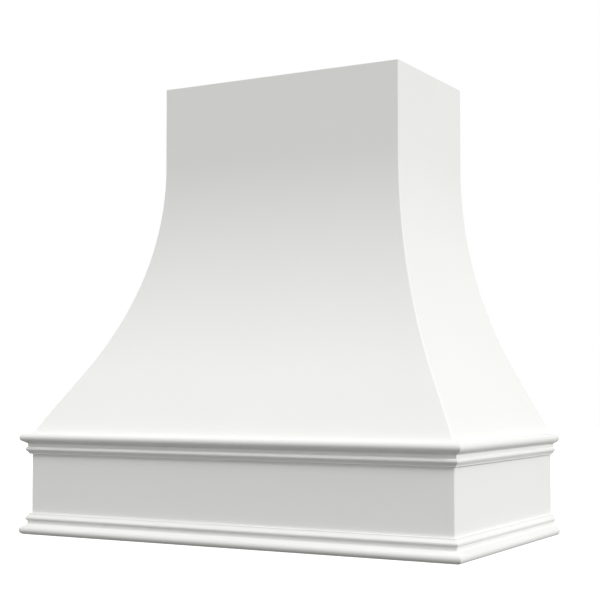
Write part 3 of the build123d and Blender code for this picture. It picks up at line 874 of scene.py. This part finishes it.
# %% Cut the plywood for the ribs
def fitting_period(spacing, near_period):
    """The period nearest to a wanted one that fits a whole number of times into a spacing."""
    return spacing / round(spacing / near_period)


PLIES, BOARD_PLIES = 4.24, 4.43  # mm from one long-grain ply to the next, in ribs and boards
front_period = fitting_period(front_places[1] - front_places[0], PLIES)
side_period = fitting_period(side_places[0] - side_places[1], PLIES)
front_centre, side_centre = (front_places[0], 0, 0), (0, side_places[0], 0)
wall_centre = (0, WALL - BOARD / 2, 0)
front_ply = birch_plywood("birch_ply_front", "Z", (1, 0, 0), front_centre, front_period)
side_ply = birch_plywood("birch_ply_side", "Z", (0, 1, 0), side_centre, side_period)
wall_ply = birch_plywood("birch_ply_wall", "Z", (0, 1, 0), wall_centre, BOARD_PLIES)
print("plies repeat every", round(front_period, 3), "and", round(side_period, 3), "mm")

# %% Stand the ribs
RIB_ROWS = 48


def rib_run(middle, half_thickness, facing):
    """The short run of a rib, square at both ends, from its middle on plan."""
    course = Vector((0, 0, 1)).cross(Vector(facing)) * half_thickness
    near, far = Vector(middle) - course, Vector(middle) + course
    return side_run(near, facing, far, facing, facing, near_steps=0, far_steps=0)


def stand_rib(node, middle, thickness, facing, top, ply):
    """One rib under a height, cut from a given plywood."""
    sizes = {
        **flare_sizes,
        **rib_run(middle, thickness / 2, facing),
        "Top": top * MM,
        "Plumb length": (top - ARC_TOP) * MM,
        "Outer inset": RIB_INSET * MM,
        "Inner inset": (RIB_INSET + RIB_WIDTH) * MM,
        "Rows": RIB_ROWS,
        "Columns": 2,
        "Corner round": 0.0,
        "Bare from": EDGES_BARE,
        "Outer finish": ply,
        "Inner finish": ply,
    }
    empty = bpy.data.meshes.new(f"{node}_base")
    stand_for(grown(f"{node}_ply", empty, FLARED_STRIP, sizes), node)


for i, x in enumerate(front_places):
    place = (x, WALL - STACK_DEPTH, 0)
    stand_rib(f"front_rib_{i + 1}", place, RIB_THICKNESS, (0, -1, 0), RIB_TOP, front_ply)
for side, sign in (("right", 1), ("left", -1)):
    out = (sign, 0, 0)
    for i, y in enumerate(side_places):
        place = (sign * HALF_STACK, y, 0)
        stand_rib(f"{side}_rib_{i + 1}", place, RIB_THICKNESS, out, RIB_TOP, side_ply)
    place, top = (sign * HALF_STACK, WALL - BOARD / 2, 0), RIB_TOP - WALL_RAIL_HEIGHT
    stand_rib(f"{side}_wall_rib", place, BOARD, out, top, wall_ply)

# %% [markdown]
# ## Apron boards and mouldings
# The apron is a flat board. The moulding on it is shaped by a cutter: a full nose, a narrow neck, a
# bead and a hollow foot. Its outline doesn't follow one rule, so it is drawn, from arcs and lines
# that touch smoothly. It is drawn once and used twice, upside down round the rim.

# %% Send a drawn outline through the run
def drawn_section():
    tree, given = tree_with("drawn_section", {**RUN_INPUTS, **FINISH_INPUTS})
    outline = add(tree, "GeometryNodeMeshToCurve", [given["Geometry"]])
    run_and_finish(tree, given, outline)
    return tree


DRAWN_SECTION = drawn_section()
print("drawn section:", len(DRAWN_SECTION.nodes), "nodes")

# %% Draw arcs and hollows
NOSE_RADIUS, NOSE_TURN = 8.7, math.radians(62)
NECK_REACH, NECK_COVE, NECK_HEIGHT = 6.2, 3.5, 5.0
BEAD_REACH, BEAD_RADIUS, BEAD_TURN = 9.5, 4.5, math.radians(40)
FOOT_REACH, FOOT_COVE, FOOT_EDGE = 4.4, 3.5, 0.5
ARC_STEP = math.radians(9)


def arc(centre, radius, start, end):
    """Points of an arc; an angle is 0 straight out, and grows downwards."""
    steps = max(2, math.ceil(abs(end - start) / ARC_STEP))
    angles = [start + (end - start) * i / steps for i in range(steps + 1)]
    return [(centre[0] + radius * math.cos(a), centre[1] + radius * math.sin(a)) for a in angles]


def hollow_in(start, turn, radius, reach):
    """The cove that a slope runs into after a round, ending plumb at a reach."""
    slope_end = reach + radius * (1 - math.cos(turn))
    slope_drop = start[1] + (start[0] - slope_end) / math.tan(turn)
    centre = (reach + radius, slope_drop + radius * math.sin(turn))
    return arc(centre, radius, math.pi + turn, math.pi)


# %% Draw the moulding
def moulding_outline():
    """Reach and drop of each point of the moulding, from its nose edge."""
    nose_centre = (NOSE_REACH - NOSE_RADIUS, NOSE_RADIUS)
    nose = arc(nose_centre, NOSE_RADIUS, -math.pi / 2, NOSE_TURN)
    neck = hollow_in(nose[-1], NOSE_TURN, NECK_COVE, NECK_REACH)
    bead_in = BEAD_REACH - BEAD_RADIUS
    bead_up = math.acos((NECK_REACH - bead_in) / BEAD_RADIUS)
    bead_drop = neck[-1][1] + NECK_HEIGHT + BEAD_RADIUS * math.sin(bead_up)
    bead = arc((bead_in, bead_drop), BEAD_RADIUS, -bead_up, BEAD_TURN)
    foot = hollow_in(bead[-1], BEAD_TURN, FOOT_COVE, FOOT_REACH)
    height = foot[-1][1] + FOOT_EDGE
    return [(0, 0)] + nose + neck + bead + foot + [(FOOT_REACH, height), (0, height)]


moulding = moulding_outline()
print("moulding:", len(moulding), "points,", round(moulding[-1][1], 2), "mm high")


# %% Lay out a section as a loop of edges
def outline_mesh(name, points, bare=()):
    """A closed loop of edges whose points carry their section: out, up, and bare or not."""
    count = len(points)
    mesh = bpy.data.meshes.new(name)
    loop = [(i, (i + 1) % count) for i in range(count)]
    mesh.from_pydata([(0, i, 0) for i in range(count)], loop, [])
    section = mesh.attributes.new("section", "FLOAT_VECTOR", "POINT")
    for i, (out, up) in enumerate(points):
        section.data[i].vector = (out * MM, up * MM, 1.0 if i in bare else 0.0)
    return mesh


apron_outline = [(0, APRON_HEIGHT), (0, 0), (-BOARD, 0), (-BOARD, APRON_HEIGHT)]
upper_outline = [(out, APRON_HEIGHT - drop) for out, drop in moulding]
lower_outline = [(out, drop) for out, drop in moulding[::-1]]
MOULDING_ROUND = 0.5
sections = {
    "apron": (outline_mesh("apron_section", apron_outline, bare=(2, 3)), EDGE_ROUND),
    "upper_moulding": (outline_mesh("upper_section", upper_outline), MOULDING_ROUND),
    "lower_moulding": (outline_mesh("lower_section", lower_outline), MOULDING_ROUND),
}

# %% [markdown]
# The corners of the mouldings are hardly sanded, or the sharp mitre of the profile would be lost,
# while the apron's flat boards get the same 2 mm edge as the skins.

# %% Run the boards and mouldings round the apron
for side, run in three_sides(HALF_WIDTH, HOOD_DEPTH).items():
    inner_finish = poplars["X"] if side == "front" else poplars["Y"]
    finishes = {"Bare from": EDGES_PAINTED, "Outer finish": enamel, "Inner finish": inner_finish}
    for name, (section, corner) in sections.items():
        sizes = {**run, **finishes, "Columns": COLUMNS, "Corner round": corner * MM}
        board = grown(f"{name}_{side}_board", section, DRAWN_SECTION, sizes)
        stand_for(board, f"{name}_{side}")

# %% [markdown]
# ## Screws and brads
# Each kind of fastener is one shape, used again wherever the solid model has one. The solids are
# plain pins. Where a pin's head is, and which way it is driven, is read from a merged copy of its
# mesh, whose loose lumps are the single pins. A pin's longest side is its axis. Its head is the
# wider end, or on a headless brad the end on the outside of the hood.

# %% Find the single pins of a solid
WELD, RIM_DEPTH = 0.005 * MM, 0.05 * MM


def loose_lumps(mesh):
    """The points of each separate lump of a mesh; the mesh itself stays as it is."""
    copy = bmesh.new()
    copy.from_mesh(mesh)
    bmesh.ops.remove_doubles(copy, verts=copy.verts, dist=WELD)
    met, lumps = set(), []
    for first in copy.verts:
        waiting, lump = [first], []
        while waiting:
            vertex = waiting.pop()
            if vertex in met:
                continue
            met.add(vertex)
            lump.append(vertex.co.copy())
            waiting.extend(edge.other_vert(vertex) for edge in vertex.link_edges)
        if lump:
            lumps.append(lump)
    copy.free()
    return lumps


# %% Read a pin's head and its way in
def head_and_way(lump):
    """The middle of a pin's head, and the direction in which it is driven."""
    low = Vector([min(point[i] for point in lump) for i in range(3)])
    high = Vector([max(point[i] for point in lump) for i in range(3)])
    axis = max(range(3), key=lambda i: high[i] - low[i])
    ends = []
    for level in (low[axis], high[axis]):
        rim = [point for point in lump if abs(point[axis] - level) < RIM_DEPTH]
        end = sum(rim, Vector()) / len(rim)
        width = max((point - end).length for point in rim)
        ends.append((round(width / MM, 1), end.xy.length, end))
    (_, _, tail), (_, _, head) = sorted(ends, key=lambda end: end[:2])
    way_in = Vector()
    way_in[axis] = math.copysign(1, tail[axis] - head[axis])
    return head, way_in


def driving_points(node):
    """A mesh of points, one for each pin of a solid, that carry the way in."""
    pins = [head_and_way(lump) for lump in loose_lumps(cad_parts[node].data)]
    mesh = bpy.data.meshes.new(f"{node}_points")
    mesh.from_pydata([head for head, _ in pins], [], [])
    ways = mesh.attributes.new("way_in", "FLOAT_VECTOR", "POINT")
    for i, (_, way) in enumerate(pins):
        ways.data[i].vector = way
    return mesh


# %% [markdown]
# A hand never stops every screw at the same angle. The tree gives each one a random twist about its
# own axis, from a fixed seed so that it is the same on every run, turns it to its way in, and puts
# a copy there. Realize Instances then makes the copies real, because an export drops instances.

# %% Drive the fasteners
FASTENER_INPUTS = {"Fastener": "Object", "Seed": "Int", "Metal": "Material"}


def driven_fasteners():
    tree, given = tree_with("driven_fasteners", FASTENER_INPUTS)
    master = add(tree, "GeometryNodeObjectInfo", [given["Fastener"]])
    twist = {"Min": 0.0, "Max": math.tau, "Seed": given["Seed"]}
    twist = add(tree, "FunctionNodeRandomValue", twist)
    twist = add(tree, "FunctionNodeAxisAngleToRotation", {"Axis": (0, 0, 1), "Angle": twist})
    way_in = {"Name": "way_in"}
    way_in = add(tree, "GeometryNodeInputNamedAttribute", way_in, data_type="FLOAT_VECTOR")
    aim = {"Rotation": twist, "Vector": way_in}
    aim = add(tree, "FunctionNodeAlignRotationToVector", aim, axis="Z")
    put = {"Points": given["Geometry"], "Rotation": aim}
    put["Instance"] = master.outputs["Geometry"]
    put = add(tree, "GeometryNodeInstanceOnPoints", put)
    real = add(tree, "GeometryNodeRealizeInstances", [put])
    plated = {"Geometry": real, "Material": given["Metal"]}
    plated = add(tree, "GeometryNodeSetMaterial", plated)
    add(tree, "NodeGroupOutput", [plated])
    return tree


DRIVEN_FASTENERS = driven_fasteners()
print("driven fasteners:", len(DRIVEN_FASTENERS.nodes), "nodes")

# %% [markdown]
# ## One screw
# A countersunk wood screw has a square recess, a cone under its head, a plain shank and a coarse
# thread that runs out in a point. It is turned as on a lathe, from rings of sixteen points. A
# ring's radius may change round the ring: on the recess it follows a square, and on the thread it
# depends on how far a point lies from the crest, which climbs by one pitch in a turn.


# %% Turn a shape from rings
def turned_shape(name, rings, metal):
    """A closed mesh of rings along +Z; each ring is its depth and its radii, in millimetres."""
    shape, around = bmesh.new(), len(rings[0][1])
    rows = []
    for depth, radii in rings:
        angles = [math.tau * i / around for i in range(around)]
        spots = [(r * math.cos(a), r * math.sin(a), depth) for r, a in zip(radii, angles)]
        rows.append([shape.verts.new(Vector(spot) * MM) for spot in spots])
    for upper, lower in zip(rows, rows[1:]):
        for i in range(around):
            j = (i + 1) % around
            shape.faces.new((upper[i], upper[j], lower[j], lower[i]))
    shape.faces.new(rows[0][::-1])
    shape.faces.new(rows[-1])
    bmesh.ops.recalc_face_normals(shape, faces=shape.faces)
    mesh = bpy.data.meshes.new(name)
    shape.to_mesh(mesh)
    shape.free()
    mesh.materials.append(metal)
    for face in mesh.polygons:
        face.use_smooth = True
    return mesh


# %% Cut the thread
AROUND = 16  # points in a ring
SCREW_RADIUS, CORE_RADIUS, POINT_RADIUS = 2.1, 1.45, 0.12
PITCH, SCREW_TIP = 3.2, 5.0


def thread_ring(depth, start, length):
    """A ring of the thread: a sharp crest on a core that runs out in a point."""
    left = min(1.0, (length - depth) / SCREW_TIP)
    risen = min(1.0, (depth - start) / PITCH)
    radii = []
    for i in range(AROUND):
        phase = (depth / PITCH - i / AROUND) % 1
        crest = max(0.0, 1 - 4 * abs(phase - 0.5))
        full = CORE_RADIUS + (SCREW_RADIUS - CORE_RADIUS) * crest * risen
        radii.append(POINT_RADIUS + (full - POINT_RADIUS) * left)
    return depth, radii


def thread_rings(start, length):
    """Rings from the end of the shank to the point, four to a turn of the thread."""
    steps = round((length - start) / (PITCH / 4))
    depths = [start + (length - start) * i / steps for i in range(steps + 1)]
    return [thread_ring(depth, start, length) for depth in depths]


# %% Turn the screws
HEAD_RADIUS, HEAD_EDGE, HEAD_HEIGHT, SHANK_RADIUS = 4.0, 0.1, 2.8, 1.6
DRIVE_SIZE, DRIVE_DEPTH, DRIVE_TAPER = 2.6, 2.2, 0.8


def wood_screw(name, length):
    """A countersunk screw with a square recess and thread on its lower two thirds."""
    angles = [math.tau * i / AROUND for i in range(AROUND)]
    recess = [DRIVE_SIZE / 2 / max(abs(math.cos(a)), abs(math.sin(a))) for a in angles]
    rings = [(DRIVE_DEPTH, [r * DRIVE_TAPER for r in recess]), (0.0, recess)]
    head = ((0.0, HEAD_RADIUS - HEAD_EDGE), (HEAD_EDGE, HEAD_RADIUS), (HEAD_HEIGHT, SHANK_RADIUS))
    rings += [(depth, [radius] * AROUND) for depth, radius in head]
    return turned_shape(name, rings + thread_rings(length / 3, length), yellow_zinc)


# %% Cut a brad
BRAD_AROUND, BEVEL_HEIGHT, BEVEL_SHARE = 8, 0.12, 0.8
CHISEL_LENGTH, CHISEL_EDGE = 1.4, 0.15  # the edge as a share of the wire's thickness


def headless_brad(name, length, radius):
    """A short wire nail, cut to a chisel point."""
    angles = [math.tau * i / BRAD_AROUND for i in range(BRAD_AROUND)]
    flats = [math.hypot(CHISEL_EDGE * math.cos(a), math.sin(a)) for a in angles]
    wedge = [radius * CHISEL_EDGE / flat for flat in flats]
    full, bevelled = [radius] * BRAD_AROUND, [radius * BEVEL_SHARE] * BRAD_AROUND
    rings = [(0.0, bevelled), (BEVEL_HEIGHT, full), (length - CHISEL_LENGTH, full), (length, wedge)]
    return turned_shape(name, rings, drawn_steel)


# %% Make one of each
SCREW_LENGTHS = {"long_screw": 50.8, "block_screw": 44.45, "cleat_screw": 31.75}  # mm
masters = {name: wood_screw(name, length) for name, length in SCREW_LENGTHS.items()}
masters["brad"] = headless_brad("brad", length=17.0, radius=0.6)
print("faces:", {name: len(mesh.polygons) for name, mesh in masters.items()})

# %% Drive them all
FASTENINGS = {
    "rib_foot_screws": "long_screw",
    "rib_top_screws": "long_screw",
    "cleat_screws": "cleat_screw",
    "block_screws": "block_screw",
    "moulding_brads": "brad",
    "panel_brads": "brad",
}
for seed, (node, kind) in enumerate(FASTENINGS.items()):
    metal, slot = (drawn_steel, "steel_brad") if kind == "brad" else (yellow_zinc, "zinc_screw")
    master = bpy.data.objects.new(kind, masters[kind])
    scene.collection.objects.link(master)
    inputs = {"Fastener": master, "Seed": seed, "Metal": metal}
    driven = grown(f"{node}_driven", driving_points(node), DRIVEN_FASTENERS, inputs)
    bpy.data.objects.remove(master)
    stand_for(driven, node)

# %% [markdown]
# ## The solids that stay
# Rails, cleats, corner blocks and hip ribs are plain sawn pieces whose solids are right as they are,
# and they only need their wood. The plies of a base rail lie on top of each other, so its stripes
# follow z. A hip rib stands at 45 degrees, and its stripes are counted across the diagonal.

# %% Cut the plywood for the rails and hips
HIP_PLIES = 4.2  # mm from one long-grain ply to the next

ring_centre = (0, 0, APRON_HEIGHT - BOARD / 2)
half = math.sqrt(0.5)
hip_woods, rail_woods = {}, {}
for grain in "XY":
    name = f"birch_ply_rail_along_{grain.lower()}"
    rail_woods[grain] = birch_plywood(name, grain, (0, 0, 1), ring_centre, BOARD_PLIES)
for side, sign in (("right", 1), ("left", -1)):
    name, across = f"birch_ply_{side}_hip", (sign * half, half, 0)
    middle = (sign * HALF_STACK, WALL - STACK_DEPTH, 0)
    hip_woods[side] = birch_plywood(name, "Z", across, middle, HIP_PLIES)
print("stripes of the ring are centred on z", ring_centre[2])


# %% Give each remaining solid its wood
def wood_of(name):
    """The wood of a board, by its name: which kind, and along which axis its grain runs."""
    if "hip_rib" in name:
        return hip_woods[name.split("_")[0]]
    if "corner_block" in name:
        return poplars["Z"]
    along = "Y" if name.endswith(("left", "right")) else "X"
    return rail_woods[along] if "base_rail" in name else poplars[along]


for name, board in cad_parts.items():
    if name in replaced:
        continue
    wood = wood_of(name)
    for slot in board.material_slots:
        slot.material = wood
    print(name, "gets", wood.name)
